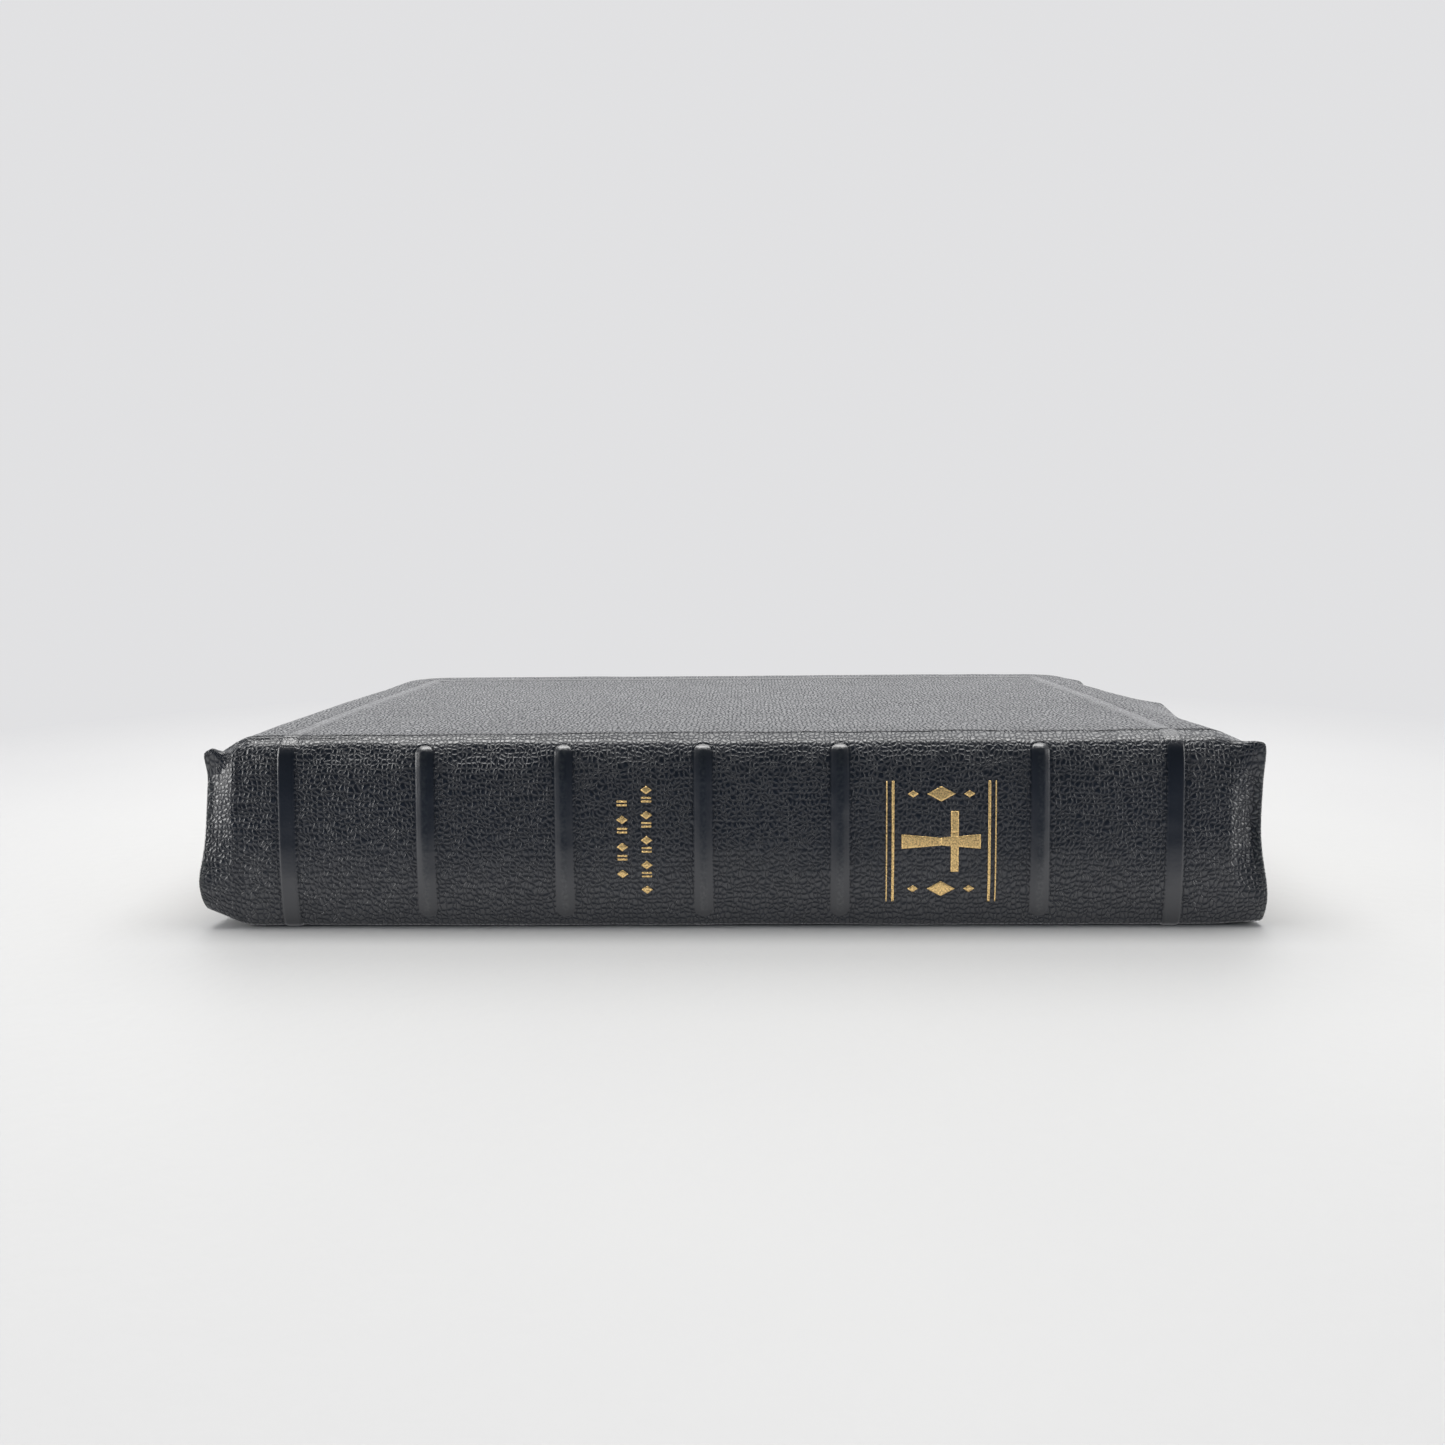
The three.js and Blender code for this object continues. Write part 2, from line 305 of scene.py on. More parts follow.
def pebbles(n, flat, cell):
    """Cells about `cell` mm wide. Returns their wavering grid and the distance to a cell's edge."""
    drift = n.add("ShaderNodeTexNoise", {"Vector": flat, "Scale": 0.35, "Detail": 1.0}).outputs["Color"]
    place = n.vector("ADD", flat, n.vector("MULTIPLY", drift, (2.0, 2.0, 0)))
    place = n.vector("MULTIPLY", place, (1 / cell, 0.86 / cell, 1))
    inputs = {"Vector": place, "Scale": 1.0, "Randomness": 0.68}
    settings = {"feature": "DISTANCE_TO_EDGE", "voronoi_dimensions": "2D"}
    inward = n.add("ShaderNodeTexVoronoi", inputs, **settings).outputs["Distance"]
    return place, n.math("MULTIPLY_ADD", n.noise(flat, 2.2, 2.0), 0.06, n.math("SUBTRACT", inward, 0.03))


def leather_height(n, flat, place, inward, on_cover, raw, burnish):
    """Domed pebbles with wrinkles and pores, coarser lumps on the covers, and nearly flat where pressed."""
    rise = n.math("MINIMUM", n.math("MAXIMUM", n.math("DIVIDE", inward, 0.42), 0.0), 1.0)
    dome = n.math("MULTIPLY", rise, n.math("SUBTRACT", 2.0, rise))
    size = n.ramp(n.noise(flat, 0.10, 2.0), (0.3, 0.7), (0.7, 1.0))
    grain = n.math("MULTIPLY_ADD", n.noise(flat, 0.9, 3.0, 0.6), 0.06, n.math("MULTIPLY", dome, size))
    inputs = {"Vector": n.vector("MULTIPLY", place, (0.62, 0.24, 1)), "Scale": 1.0, "Randomness": 0.9}
    lumps = n.add("ShaderNodeTexVoronoi", inputs, feature="F1", voronoi_dimensions="2D").outputs["Distance"]
    lumps = n.math("MULTIPLY", n.math("SUBTRACT", 0.8, lumps), n.math("MULTIPLY", on_cover, 1.5))
    grain = n.math("MULTIPLY_ADD", n.noise(flat, 5.0, 3.0, 0.6), 0.05, n.math("ADD", lumps, grain))
    faint = n.math("MULTIPLY", n.noise(flat, 1.1, 5.0, 0.6), n.math("MULTIPLY", burnish, 0.16))
    return n.math("MULTIPLY_ADD", grain, raw, faint)


def leather_material(name, dark, light, cell, relief, gloss):
    """Pebbled leather: small domes with narrow valleys between them, pressed smooth where it is tooled."""
    n = Nodes(name)
    flat = n.add("ShaderNodeUVMap", uv_map="grain").outputs[0]
    burnish, wear = n.attribute("burnish"), n.attribute("wear")
    on_cover = n.ramp(n.attribute("level"), (0.955, 0.0), (0.995, 1.0))
    raw = n.math("SUBTRACT", 1.0, burnish)
    place, inward = pebbles(n, flat, cell)
    height = leather_height(n, flat, place, inward, on_cover, raw, burnish)
    valley = n.math("MULTIPLY", n.ramp(inward, (0.03, 1.0), (0.24, 0.0)), raw)
    broad = n.noise(flat, 0.05, 3.0)
    tone = n.mix(valley, dark, light)
    tone = n.mix(n.math("MULTIPLY", burnish, 0.6), tone, dark)
    tone = n.mix(n.math("MULTIPLY", n.ramp(broad, (0.35, 0.0), (0.7, 1.0)), 0.3), tone, dark)
    rubbed = n.math("MULTIPLY", wear, n.ramp(n.noise(flat, 1.3, 4.0), (0.40, 0.0), (0.70, 1.0)))
    tone = n.mix(rubbed, tone, RUBBED_LEATHER)
    dust = n.ramp(n.noise(flat, 2.4, 1.0), (0.80, 0.0), (0.84, 1.0))
    tone = n.mix(n.math("MULTIPLY", dust, 0.5), tone, DUST)
    rough = n.math("MULTIPLY_ADD", valley, 0.16, gloss)
    rough = n.math("MULTIPLY_ADD", burnish, 0.03, rough)
    rough = n.math("MULTIPLY_ADD", n.math("SUBTRACT", broad, 0.5), 0.15, rough)
    material = n.finish(
        Base_Color=tone,
        Roughness=rough,
        Specular_IOR_Level=0.5,
        Coat_Weight=0.3,
        Coat_Roughness=0.2,
        Normal=n.bump(height, relief),
    )
    # Painted shade: a dark diffuse is mixed in at the bottom of the valleys, where little light reaches,
    # most of all on the covers.
    depth = n.math("MULTIPLY", valley, n.math("MULTIPLY_ADD", on_cover, 0.42, 0.38))
    painted_valley_shade = n.add("ShaderNodeBsdfDiffuse", {"Color": (*dark, 1)}).outputs[0]
    both = n.add("ShaderNodeMixShader", {0: depth, 1: n.shader.outputs[0], 2: painted_valley_shade}).outputs[0]
    n.put(n.tree.nodes["Material Output"].inputs["Surface"], both)
    return material


def printing(n, x, y):
    """Blocks of small grey lines in two columns, like close print but without any letters."""
    inputs = {"X": n.math("MULTIPLY", x, 2.6), "Y": n.math("MULTIPLY", y, 0.9)}
    wide = n.add("ShaderNodeCombineXYZ", inputs).outputs[0]
    words = n.ramp(n.noise(wide, 1.0, 1.0), (0.40, 0.0), (0.46, 1.0))
    line = n.math("FRACT", n.math("DIVIDE", n.math("ADD", x, 300.0), LINE_PITCH))
    lines = n.math("GREATER_THAN", line, 0.52)
    inside = n.math("LESS_THAN", n.math("ABSOLUTE", x), TEXT_HALF)
    across = n.math("ABSOLUTE", n.math("SUBTRACT", y, Y_OFFSET + TEXT_MIDDLE))
    column = n.math("COMPARE", across, 28.5, 25.5)
    return n.math("MULTIPLY", n.math("MULTIPLY", words, lines), n.math("MULTIPLY", inside, column))


def paper_material(name, edge):
    """Thin cream paper. `edge` is the colour of the gilt on the cut sides, or None for plain ones."""
    n = Nodes(name)
    place = in_millimetres(n)
    facing = n.split(n.add("ShaderNodeTexCoord").outputs["Normal"])["Z"]
    flat = n.math("GREATER_THAN", n.math("ABSOLUTE", facing), 0.8)
    x, y, z = n.split(place)
    ink = n.math("MULTIPLY", printing(n, x, y), n.math("MULTIPLY", flat, 0.62))
    fibre = n.noise(place, 2.2, 4.0)
    tone = n.mix(fibre, (0.42, 0.39, 0.32), (0.47, 0.445, 0.38))
    tone = n.mix(ink, tone, (0.17, 0.16, 0.15))
    if edge is None:
        return n.finish(Base_Color=tone, Roughness=0.8, Normal=n.bump(fibre, 0.02))
    inputs = {axis: n.math("MULTIPLY", along, 0.03) for axis, along in (("X", x), ("Y", y))}
    inputs["Z"] = n.math("MULTIPLY", z, 9.0)
    thin = n.add("ShaderNodeCombineXYZ", inputs).outputs[0]
    sheets = n.noise(thin, 1.0, 4.0, 0.7)
    cut = n.math("SUBTRACT", 1.0, flat)
    rubbed = n.math("MULTIPLY", cut, n.ramp(sheets, (0.38, 0.25), (0.62, 1.0)))
    gilt = n.mix(sheets, tuple(0.55 * c for c in edge), edge)
    tone = n.mix(rubbed, tone, gilt)
    height = n.math("ADD", n.math("MULTIPLY", sheets, cut), n.math("MULTIPLY", fibre, 0.15))
    return n.finish(
        Base_Color=tone,
        Metallic=n.math("MULTIPLY", rubbed, 0.85),
        Roughness=n.math("MULTIPLY_ADD", rubbed, -0.42, 0.8),
        Normal=n.bump(height, 0.06),
    )


def woven_material(name, first, second, across, along, relief):
    n = Nodes(name)
    place = in_millimetres(n)
    axes = n.split(place)
    warp = n.math("SINE", n.math("MULTIPLY", axes["X"], math.tau / across))
    weft = n.math("SINE", n.math("MULTIPLY", axes["Z"], math.tau / along))
    height = n.math("MULTIPLY_ADD", n.math("MULTIPLY", warp, weft), 0.5, 0.5)
    stray = n.noise(place, 1.7, 4.0)
    tone = n.mix(n.math("MULTIPLY", height, stray), first, second)
    return n.finish(Base_Color=tone, Roughness=0.85, Sheen_Weight=0.2, Normal=n.bump(height, relief))


def endband_material():
    """Two silks wound in turn over a cord, so the colours change along the band."""
    n = Nodes("endband_silk")
    axes = n.split(in_millimetres(n))
    lean = n.math("MULTIPLY_ADD", axes["Y"], 0.35, axes["Z"])
    turn = n.math("FRACT", n.math("DIVIDE", lean, 3.4))
    stripe = n.ramp(turn, (0.46, 0.0), (0.52, 1.0))
    threads = n.math("SINE", n.math("MULTIPLY", lean, math.tau / 0.42))
    tone = n.mix(stripe, (0.28, 0.012, 0.02), (0.66, 0.47, 0.16))
    tone = n.mix(n.math("MULTIPLY_ADD", threads, 0.2, 0.2), tone, (0.05, 0.01, 0.01))
    return n.finish(Base_Color=tone, Roughness=0.45, Sheen_Weight=0.3, Normal=n.bump(threads, 0.08))


def board_material(name, first, second):
    n = Nodes(name)
    place = in_millimetres(n)
    flecks = n.noise(place, 1.4, 6.0, 0.7)
    tone = n.mix(n.ramp(flecks, (0.35, 0.0), (0.65, 1.0)), first, second)
    return n.finish(Base_Color=tone, Roughness=0.9, Normal=n.bump(flecks, 0.05))


def gold_material():
    """Gold leaf pressed into the grain: bright on the high spots, thin and brown in the pits."""
    n = Nodes("gold_leaf")
    flat = n.add("ShaderNodeUVMap", uv_map="grain").outputs[0]
    pits = n.noise(flat, 2.6, 4.0, 0.65)
    speck = n.noise(flat, 9.0, 2.0)
    tone = n.mix(n.ramp(pits, (0.34, 0.0), (0.56, 1.0)), (0.24, 0.15, 0.06), (0.80, 0.56, 0.24))
    rough = n.math("MULTIPLY_ADD", speck, 0.3, 0.22)
    return n.finish(
        Base_Color=tone,
        Metallic=n.ramp(pits, (0.28, 0.55), (0.5, 1.0)),
        Roughness=rough,
        Normal=n.bump(n.math("ADD", pits, n.math("MULTIPLY", speck, 0.4)), 0.09),
    )


RUBBED_LEATHER, DUST = (0.085, 0.09, 0.082), (0.16, 0.16, 0.155)
GILT = (0.62, 0.42, 0.15)
LINE_PITCH, TEXT_HALF, TEXT_MIDDLE = 2.9, 93.0, 68.0
BLACK, BLUE_BLACK = (0.0020, 0.0032, 0.0056), (0.0050, 0.0078, 0.0138)
LEATHER_SKIN = leather_material("black_pebbled_leather", BLACK, BLUE_BLACK, 1.05, 0.25, 0.28)
PAPER = paper_material("gilt_edged_paper", GILT)
LEAF_PAPER = paper_material("single_leaf_paper", GILT)
FLYLEAF_PAPER = paper_material("plain_flyleaf_paper", None)
MULL = woven_material("mull", (0.55, 0.50, 0.40), (0.82, 0.78, 0.68), 1.1, 1.1, 0.1)
LINER = board_material("spine_liner_paper", (0.36, 0.27, 0.17), (0.48, 0.38, 0.25))
BOARD = board_material("grey_board", (0.30, 0.26, 0.19), (0.42, 0.37, 0.28))
SILK = endband_material()
GOLD = gold_material()


# ---- The binding's outer surface ----
def spine_curve(z):
    """Y of the rounded section folds at a height z."""
    share = (z - MIDDLE) / (MIDDLE - BLOCK_LOW)
    return -SPINE_ROUND * np.maximum(0, 1 - share * share)


def make_profile():
    """The section across the binding: distance along it, Y and Z. It starts at the front cover's fore-edge.

    The weight of the book flattens the lower shoulder. The upper one slopes from the crease to the face,
    which leans back a little.
    """
    lower = [(180, 0), (-2.8, 0.0), (-4.5, 0.2), (-5.0, 1.6), (-5.4, 4.5), (-5.6, 8), (-5.62, 12)]
    upper = [(-5.4, 18), (-5.0, 23), (-4.6, 28), (-4.15, 33), (-3.75, 36.6), (-3.2, 39.6), (-2.2, 41.2)]
    slope = [(-0.9, 42.05), (0.6, 42.55), (CREASE_Y, 42.9), (4.0, THICKNESS), (180, THICKNESS)]
    points = np.array(lower + upper + slope, float)
    length = np.concatenate([[0], np.cumsum(np.linalg.norm(np.diff(points, axis=0), axis=1))])
    # Equal steps along it, and a blur that rounds its corners.
    step, reach, rounding = 0.05, 60, 0.75
    even = np.arange(0, length[-1], step)
    kernel = np.exp(-0.5 * (np.arange(-reach, reach + 1) * step / rounding) ** 2)
    kernel /= kernel.sum()
    y, z = (np.convolve(np.interp(even, length, points[:, k]), kernel, "valid") for k in (0, 1))
    even = even[reach:-reach]
    return even - np.interp(MIDDLE, z, even), y, z


PROFILE_V, PROFILE_Y, PROFILE_Z = make_profile()


def v_at_height(z):
    return float(np.interp(z, PROFILE_Z, PROFILE_V))


def v_at_depth(y, upper):
    """Where the binding is at a distance y behind the folds, on the back cover's side or the front's."""
    side = PROFILE_V > 17 if upper else PROFILE_V < -17
    order = slice(None) if upper else slice(None, None, -1)
    return float(np.interp(y, PROFILE_Y[side][order], PROFILE_V[side][order]))


SEAM_HIGH, SEAM_LOW = v_at_depth(SPINE_FOLD_Y, True), v_at_depth(SPINE_FOLD_Y, False)
CREASE_HIGH, CREASE_LOW = v_at_depth(CREASE_Y, True), v_at_depth(CREASE_Y, False)
RIB_TOP, RIB_FOOT = v_at_height(41.0) - 1.9, v_at_height(2.6) + 1.9


def along_profile(v):
    return np.interp(v, PROFILE_V, PROFILE_Y), np.interp(v, PROFILE_V, PROFILE_Z)


def flap(s, curl):
    """How far out and down an overlapping edge goes at a distance s past its fold. curl 1 is the CAD's."""
    arc = FLAP_RADIUS * FLAP_ANGLE
    angle = FLAP_ANGLE * np.where(np.abs(curl) < 1e-3, 1e-3, curl)
    radius = arc / angle
    turned = np.minimum(s, arc) / radius
    rest = np.maximum(s - arc, 0)
    out = radius * np.sin(turned) + rest * np.cos(angle)
    drop = radius * (1 - np.cos(turned)) + rest * np.sin(angle)
    return out, drop


def curl_of(upper, p, y, angle):
    """How strongly the overlapping edge curls towards the pages, round the cover."""
    seed = 5 if upper else 9
    if upper:
        # Two bumps in the head's edge, where it has been bent up.
        places = (-4, 0, 8, 40, 50, 59, 68, 88, 112)
        head = np.interp(y, places, (0.5, 0.7, 0.84, 0.78, 0.5, 0.2, 0.36, 0.58, 0.8))
        head = head - 0.5 * np.exp(-(((y - 132.5) / 4.5) ** 2))
        tail = 0.80 + 0.24 * np.exp(-(((y - 5) / 7) ** 2)) + 0.05 * noise(y, y * 0 + 7, 26, seed + 1)
    else:
        head = 0.12 + 0.10 * noise(y, y * 0, 34, seed) + 0.6 * smooth(10, 60, y)
        tail = 0.84 + 0.10 * noise(y, y * 0 + 7, 26, seed + 1)
    fore = 0.80 + 0.12 * noise(p, p * 0 + 3, 30, seed + 2)
    side = np.where(p > 0, head, tail)
    share = angle / (math.pi / 2)
    return side * (1 - share) + fore * share


def binding(p, v):
    """The smooth surface at distance p along the spine and v around the binding."""
    y0, z0 = along_profile(v)
    a = np.maximum(np.abs(p) - FLAT_X, 0)
    b = np.maximum(y0 - FLAT_Y, 0)
    r = np.maximum(np.maximum(a, b), 1e-6)
    angle = np.where(a >= b, math.pi / 4 * b / r, math.pi / 2 - math.pi / 4 * a / r)
    s = np.maximum(r - COVER_CORNER, 0)
    head = p > 0
    out_high, drop_high = flap(s, curl_of(True, p, y0, angle))
    out_low, drop_low = flap(s, curl_of(False, p, y0, angle))
    share = np.clip(z0 / THICKNESS, 0, 1)
    waist = np.sin(math.pi * np.clip(share * 1.12 - 0.12, 0, 1)) ** 1.3
    at_spine = 1 - smooth(-2.5, 6, y0)
    out = out_high * share + out_low * (1 - share)
    # The spine's rim is drawn in at its waist and reaches out furthest near the bottom.
    drawn_in = np.where(head, 0.01, -0.06) * waist
    reach_low = np.where(head, 0.10, 0.15) * np.exp(-(((z0 - 7) / 8) ** 2))
    out = out + s * at_spine * (reach_low - drawn_in)
    reach = np.minimum(r, COVER_CORNER) + out
    x = np.sign(p) * (np.minimum(np.abs(p), FLAT_X) + reach * np.cos(angle))
    y = np.minimum(y0, FLAT_Y) + reach * np.sin(angle)
    z = z0 - drop_high * share + drop_low * (1 - share)
    # Past its fold line the spine's end bends in towards the pages, and the rim flares out again.
    level = smooth(2, 31, z0) * (1 - 0.75 * smooth(36, 41.5, z0))
    tail_tuck = 3.0 * bend(2.9, 11.0, s) * level
    head_tuck = 2.9 * bend(3.2, 10.6, s) * waist - 0.5 * smooth(10.3, 11.2, s) * waist
    y = y + np.where(head, head_tuck, tail_tuck) * at_spine * (1 + 0.12 * noise(z0, p, 14, 31))
    # Small ears where the rim curls up and out at the back cover's end of the spine.
    corner = at_spine * (1 - smooth(-2.5, 1.5, y0)) * np.exp(-(((z0 - 41) / 3.8) ** 2))
    ear_start, ear_end = np.where(head, 4.0, 6.5), np.where(head, 11.0, 9.8)
    ear = smooth(ear_start, ear_end, s) * corner
    z = z + np.where(head, 2.6, 3.1) * ear
    y = y - np.where(head, 1.4, 1.0) * ear
    # The joint isn't quite square to the spine.
    skew = smooth(HINGE_Y, CREASE_Y, y0) * (1 - smooth(5, 16, y0)) * (z0 > MIDDLE)
    y = y + 0.012 * p * skew
    return np.stack([x, y, z], -1)


def rib_distance(p, v, centre):
    """Distance from the line along the top of a raised band."""
    past = np.maximum(np.maximum(v - RIB_TOP, RIB_FOOT - v), 0)
    return np.hypot(p - centre, past)


def groove(distance, place, width, depth):
    return -depth * np.exp(-(((distance - place) / width) ** 2))


def frame_distance(p, y):
    """Distance from the middle of the border bands and the frame that they make on the covers."""
    dx = np.abs(p) - BORDER_X - 1.2 * smooth(0, 40, y)
    dy = y - (FORE_EDGE - FRAME_INSET)
    outside = np.hypot(np.maximum(dx, 0), np.maximum(dy, 0))
    return np.abs(outside + np.minimum(np.maximum(dx, dy), 0))


def relief(p, v):
    """Raised bands, tooled lines, crease and soft unevenness. Returns the height, burnish and wear."""
    y0 = along_profile(v)[0]
    on_cover = (v > CREASE_HIGH + 0.3) | (v < CREASE_LOW - 0.3)
    height = 0.08 * noise(p, v, 9, 3) + 0.14 * noise(p, v, 31, 4)
    height = height + 0.04 * noise(p, v, 3.1, 6)
    burnish = np.zeros_like(height)
    wear = np.zeros_like(height)
    # Between the raised bands the upper shoulder has slumped, most of all towards the tail.
    slump = 0.22 + 0.5 * smooth(-20, -50, p) * smooth(-102, -90, p)
    apart = np.min([np.abs(p - c) for c in RIB_CENTRES + (-BORDER_X, BORDER_X)], axis=0)
    corner = v_at_height(39.4)
    height = height - slump * smooth(2, 10, apart) * np.exp(-(((v - corner) / 2.3) ** 2))
    for centre in RIB_CENTRES:
        d = rib_distance(p, v, centre)
        low_end = 0.5 + 0.5 * smooth(-20, -10, v)
        height = height + 0.54 * low_end * (1 - smooth(0.3, 2.1, d))
        height = height + groove(d, 2.15, 0.24, 0.20) + groove(d, 2.95, 0.5, 0.05)
        burnish = np.maximum(burnish, 1 - smooth(1.9, 2.5, d))
        wear = np.maximum(wear, 0.25 * (1 - smooth(0.3, 1.2, d)))
    half = np.where(on_cover, 1.45, 1.70)
    line = frame_distance(p, y0)
    height = height + np.where(on_cover, 0.08, 0.16) * (1 - smooth(half - 0.25, half + 0.25, line))
    height = height + groove(line, half + 0.35, 0.2, 0.17) + groove(line, half + 1.15, 0.2, 0.12)
    pressed = np.where(on_cover, 0.5, 1 - 0.4 * smooth(0, 3, v - v_at_height(39.4)))
    burnish = np.maximum(burnish, pressed * (1 - smooth(half, half + 0.5, line)))
    # The crease of the joint.
    past = np.where(v > 0, v - CREASE_HIGH, CREASE_LOW - v)
    d = past - 0.30 * noise(p, p * 0, 5.5, 12) - 0.30 * noise(p, p * 0, 27, 13)
    height = height + groove(d, 0, 0.20, 0.60) + 0.12 * np.exp(-(((d - 0.8) / 0.6) ** 2))
    height = height + 0.16 * np.exp(-(((d + 1.2) / 0.9) ** 2))
    wear = np.maximum(wear, 0.15 * np.exp(-(((d + 1.2) / 0.8) ** 2)))
    # Fold lines at the ends of the spine, and rubbed rims.
    past = np.abs(p) - FOLD_X
    upright = 1 - smooth(19, 23, np.abs(v))
    weave = 0.35 * noise(v, v * 0 + np.sign(p) * 5, 8, 14) - np.where(p < 0, 3.3, 3.0)
    lean = np.where(p < 0, 0.5, -1.1) * smooth(-12, 18, v)
    for place, depth in ((-1.5, 0.10), (-0.7, 0.18), (0.1, 0.30), (0.9, 0.14), (2.2, 0.06)):
        strength = np.where(p < 0, 1.0, 0.45)
        height = height + groove(past + weave + lean, place, 0.2, depth) * upright * strength
    rim = np.maximum(past, y0 - FORE_EDGE)
    wear = np.maximum(wear, 0.8 * smooth(FLAP_LENGTH - 1.5, FLAP_LENGTH, rim))
    return height, np.clip(burnish, 0, 1), np.clip(wear, 0, 1)


def normals_of(points):
    across, along = np.gradient(points, axis=1), np.gradient(points, axis=0)
    normal = np.cross(across, along)
    return normal / (np.linalg.norm(normal, axis=-1, keepdims=True) + 1e-12)


def stations(spans):
    """Increasing values made from (start, end, step) spans."""
    parts = [np.linspace(a, b, max(2, int(round((b - a) / step)) + 1)) for a, b, step in spans]
    joined = np.unique(np.round(np.concatenate(parts), 5))
    return joined[np.concatenate([[True], np.diff(joined) > 0.02])]


def spine_stations():
    fine = [(-BORDER_X - 4.5, -BORDER_X + 4.5), (BORDER_X - 4.5, BORDER_X + 4.5)]
    fine += [(c - 3.3, c + 3.3) for c in RIB_CENTRES]
    fine.sort()
    end = FOLD_X + FLAP_LENGTH
    spans, at = [(-end, -FOLD_X + 1.5, 0.42)], -FOLD_X + 1.5
    for low, high in fine:
        if low > at:
            spans.append((at, low, 1.5))
        spans.append((max(low, at), high, 0.26))
        at = high
    return stations(spans + [(at, FOLD_X - 1.5, 1.5), (FOLD_X - 1.5, end, 0.42)])


def profile_stations():
    """Distances around the binding, from one fore-edge rim to the other."""
    halves = []
    for upper, sign in ((False, -1), (True, 1)):
        corner = sign * v_at_height(37 if upper else 3)
        crease, seam = sign * v_at_depth(CREASE_Y, upper), sign * v_at_depth(SPINE_FOLD_Y, upper)
        line = sign * v_at_depth(FORE_EDGE - FRAME_INSET, upper)
        fold = sign * v_at_depth(FORE_EDGE, upper)
        spans = [(0, corner, 0.6), (corner, crease - 1, 0.26), (crease - 1, crease + 1, 0.13)]
        spans += [(crease + 1, crease + 2.6, 0.26), (crease + 2.6, crease + 9, 0.8)]
        spans += [(crease + 9, line - 3, 2.4), (line - 3, line + 3, 0.3)]
        spans += [(line + 3, fold + 1.5, 0.9), (fold + 1.5, fold + FLAP_LENGTH, 0.6)]
        half = stations(spans)
        halves.append(sign * np.unique(np.concatenate([half[np.abs(half - seam) > 0.1], [seam]])))
    return np.concatenate([halves[0][:0:-1], halves[1]])


P, V = np.meshgrid(spine_stations(), profile_stations())
BASE = binding(P, V)
BASE_NORMAL = normals_of(BASE)
HEIGHT, BURNISH, WEAR = relief(P, V)
OUTER = BASE + BASE_NORMAL * HEIGHT[..., None]
OUTER[..., 2] = np.clip(OUTER[..., 2], 0, None)
OUTER_NORMAL = normals_of(OUTER)


def wall():
    """How thick the leather is: turned in and doubled along the overlapping edges."""
    past = np.maximum(np.abs(P) - FOLD_X, along_profile(V)[0] - FORE_EDGE)
    at_cover = smooth(3.5, 4.6, along_profile(V)[0])
    turned_in = smooth(-0.75, -0.35, past)
    thick = LEATHER - 0.15 + 0.15 * at_cover + turned_in * (0.35 + 0.6 * at_cover)
    return thick - 0.5 * smooth(1, FLAP_LENGTH, past) * (0.4 + 0.6 * at_cover)


INNER = OUTER - BASE_NORMAL * wall()[..., None]


def skin(name, rows, bulge, *nodes):
    """One piece of the leather: the given rows of the binding's grid."""
    outer, inner = OUTER[rows], INNER[rows]
    points, faces, source = shell(outer, inner, bulge)
    count = outer.shape[0] * outer.shape[1]
    normal = np.full((len(points), 3), np.nan)
    normal[:count] = OUTER_NORMAL[rows].reshape(-1, 3)
    uv = np.stack([P[rows].ravel(), V[rows].ravel()], -1)[source]
    level = np.abs(OUTER_NORMAL[..., 2])
    marks = {"burnish": BURNISH, "wear": WEAR, "level": level}  # level: 1 where the surface lies flat
    marks = {key: values[rows].ravel()[source] for key, values in marks.items()}
    made = mesh_object(name, points, faces, LEATHER_SKIN, uv, marks, normal)
    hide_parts(*nodes)
    return made


def squash_at_opening(piece):
    """Gives the piece a mesh of its own, copied from the one it shares."""
    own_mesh(piece)


def across_joint(piece):
    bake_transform(piece)


def add_leather():
    around = V[:, 0]
    front = skin("front_cover_skin", around <= SEAM_LOW + 1e-6, (1, 0, 1, 1), "front_cover_leather")
    across_joint(front)
    back = skin("back_cover_skin", around >= SEAM_HIGH - 1e-6, (0, 1, 1, 1), "back_cover_leather")
    across_joint(back)
    on_spine = (around >= SEAM_LOW - 1e-6) & (around <= SEAM_HIGH + 1e-6)
    lower = skin("spine_skin_front_half", on_spine & (around <= 1e-6), (0, 0, 1, 1), "spine_leather")
    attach(lower, "front_leaves")
    squash_at_opening(lower)
    upper = skin("spine_skin_back_half", on_spine & (around >= -1e-6), (0, 0, 1, 1), "spine_leather")
    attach(upper, "back_leaves")
    squash_at_opening(upper)


# ---- Gold tooling on the spine ----
def on_surface(p, v, lift):
    """Points at a height `lift` above the finished leather at (p, v)."""
    step = 0.05
    here = binding(p, v)
    normal = np.cross(binding(p + step, v) - here, binding(p, v + step) - here)
    normal /= np.linalg.norm(normal, axis=-1, keepdims=True)
    return here + normal * (relief(p, v)[0] + lift)[..., None]


def foil_patch(corners):
    """A thin piece of gold leaf between four corners (p, v), listed anticlockwise seen from outside."""
    a, b, c, d = (np.array(k, float) for k in corners)
    wide = max(np.linalg.norm(b - a), np.linalg.norm(c - d))
    tall = max(np.linalg.norm(d - a), np.linalg.norm(c - b))
    t, u = np.meshgrid(np.linspace(0, 1, 2 + int(wide / 0.5)), np.linspace(0, 1, 2 + int(tall / 0.5)))
    t, u = t[..., None], u[..., None]
    flat = a * (1 - t) * (1 - u) + b * t * (1 - u) + c * t * u + d * (1 - t) * u
    p, v = flat[..., 0], flat[..., 1]
    points, faces, source = shell(on_surface(p, v, 0.07), on_surface(p, v, -0.06), (0, 0, 0, 0), 1)
    return points, faces, flat.reshape(-1, 2)[source]


